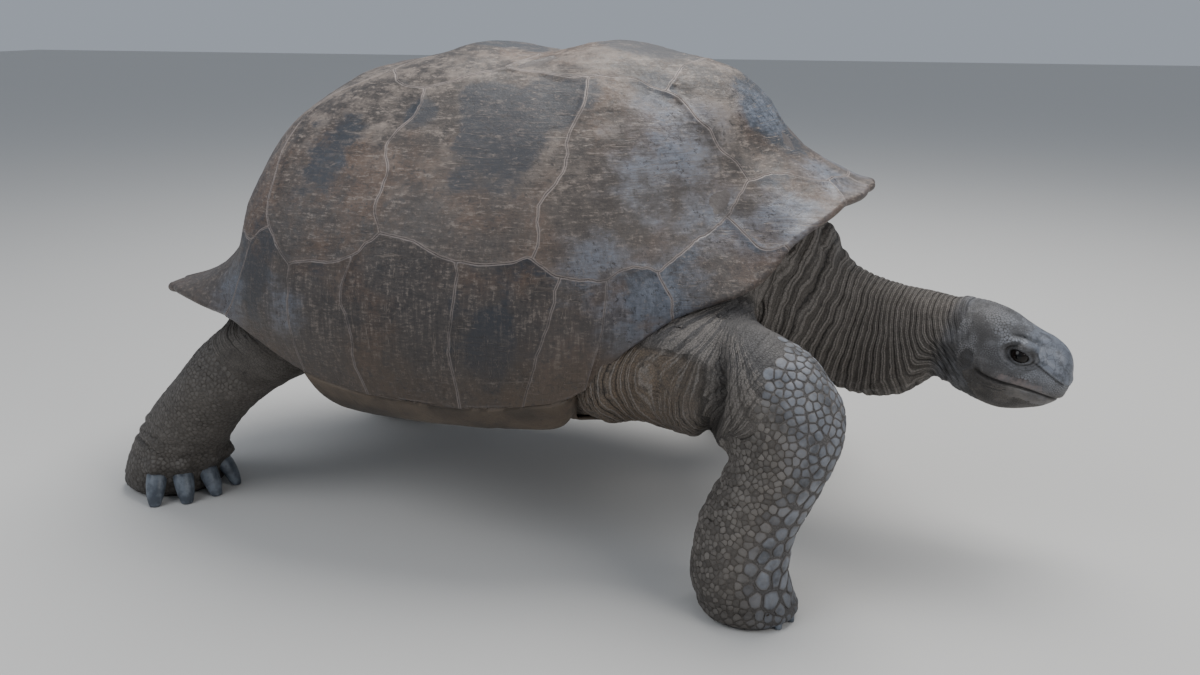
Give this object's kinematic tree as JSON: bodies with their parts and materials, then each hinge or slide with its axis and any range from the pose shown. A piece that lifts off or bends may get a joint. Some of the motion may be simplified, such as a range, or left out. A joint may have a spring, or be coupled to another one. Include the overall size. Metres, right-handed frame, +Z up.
{
  "type": "giant tortoise figure",
  "caption": "Life-size still figure of a giant tortoise walking with its neck stretched forwards, standing on its feet, for museum-style display.",
  "frame": {"origin": "on the floor under the middle of the figure's outline", "axes": "+X the way the animal faces, +Y its left side, +Z up"},
  "size_m": [1.3975, 0.7894, 0.6871],
  "materials": {
    "shell_horn": "worn satin horn",
    "belly_horn": "worn satin horn",
    "skin": "dry, wrinkled and scaly",
    "claw_horn": "smooth satin horn",
    "eye": "wet gloss"
  },
  "bodies": {
    "root": {"carapace": "shell_horn", "claw_front_left_1": "claw_horn", "claw_front_left_2": "claw_horn", "claw_front_left_3": "claw_horn", "claw_front_left_4": "claw_horn", "claw_front_left_5": "claw_horn", "claw_front_right_1": "claw_horn", "claw_front_right_2": "claw_horn", "claw_front_right_3": "claw_horn", "claw_front_right_4": "claw_horn", "claw_front_right_5": "claw_horn", "claw_hind_left_1": "claw_horn", "claw_hind_left_2": "claw_horn", "claw_hind_left_3": "claw_horn", "claw_hind_left_4": "claw_horn", "claw_hind_right_1": "claw_horn", "claw_hind_right_2": "claw_horn", "claw_hind_right_3": "claw_horn", "claw_hind_right_4": "claw_horn", "eye_left": "eye", "eye_right": "eye", "front_leg_left": "skin", "front_leg_right": "skin", "head": "skin", "hind_leg_left": "skin", "hind_leg_right": "skin", "lower_jaw": "skin", "neck": "skin", "plastron": "belly_horn", "tail": "skin", "trunk": "skin"}
  },
  "joints": []
}
